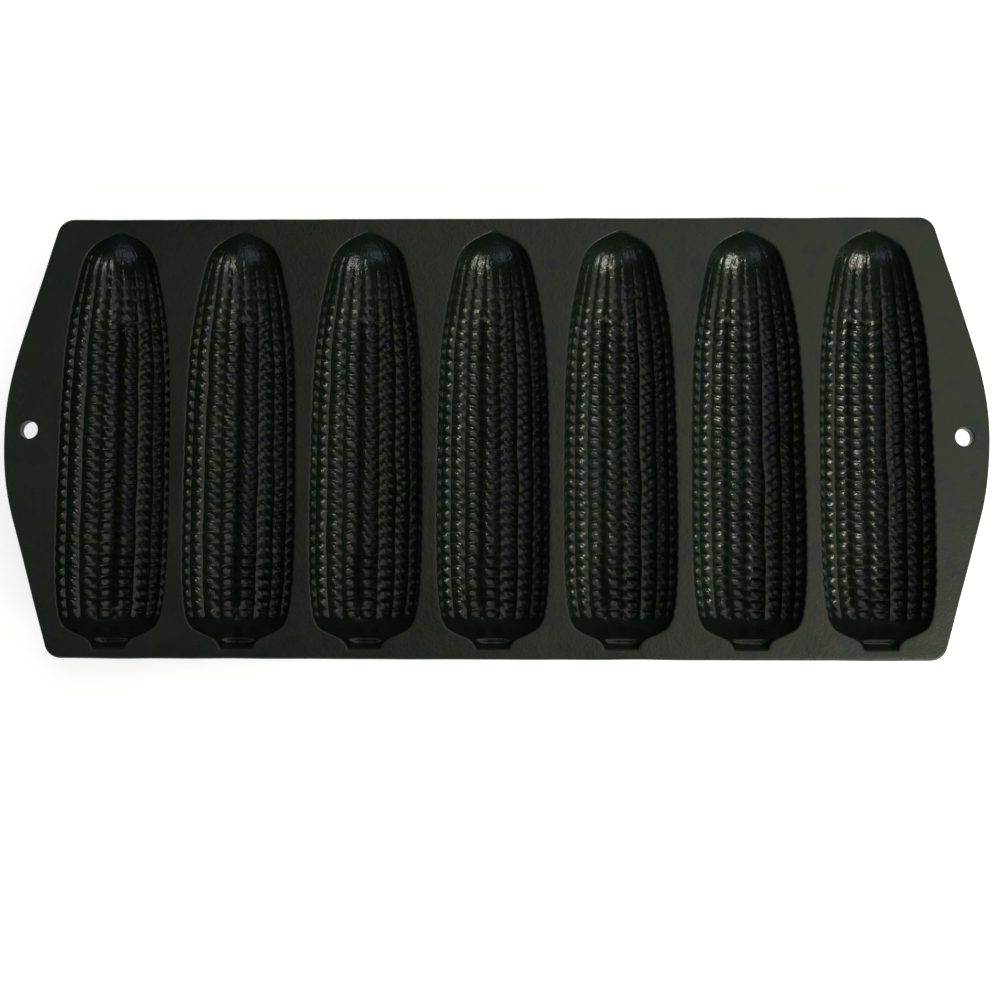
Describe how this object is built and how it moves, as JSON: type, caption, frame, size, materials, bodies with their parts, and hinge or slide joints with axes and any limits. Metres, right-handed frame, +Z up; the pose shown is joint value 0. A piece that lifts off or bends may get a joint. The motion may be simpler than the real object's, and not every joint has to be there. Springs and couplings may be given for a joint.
{
  "type": "cast iron corn stick pan",
  "caption": "Shallow cast iron baking pan with a flat deck, side by side moulds shaped as ears of corn, and bowed end grips with hanging holes.",
  "frame": {"origin": "middle of the pan on the plane that it rests on, under the fourth mould", "axes": "+X along the pan's length towards the right end, +Y across the pan towards the tips of the ears, +Z up out of the moulds"},
  "size_m": [0.33, 0.149, 0.0215],
  "materials": {
    "deck_iron": "seasoned as-cast iron, satin black with a faint brown cast",
    "mould_iron": "seasoned as-cast iron, oiled to a soft gloss inside the moulds"
  },
  "bodies": {
    "root": {"deck_plate": "deck_iron", "grip_left": "deck_iron", "grip_right": "deck_iron", "stick_mould_1": "mould_iron", "stick_mould_2": "mould_iron", "stick_mould_3": "mould_iron", "stick_mould_4": "mould_iron", "stick_mould_5": "mould_iron", "stick_mould_6": "mould_iron", "stick_mould_7": "mould_iron"}
  },
  "joints": []
}
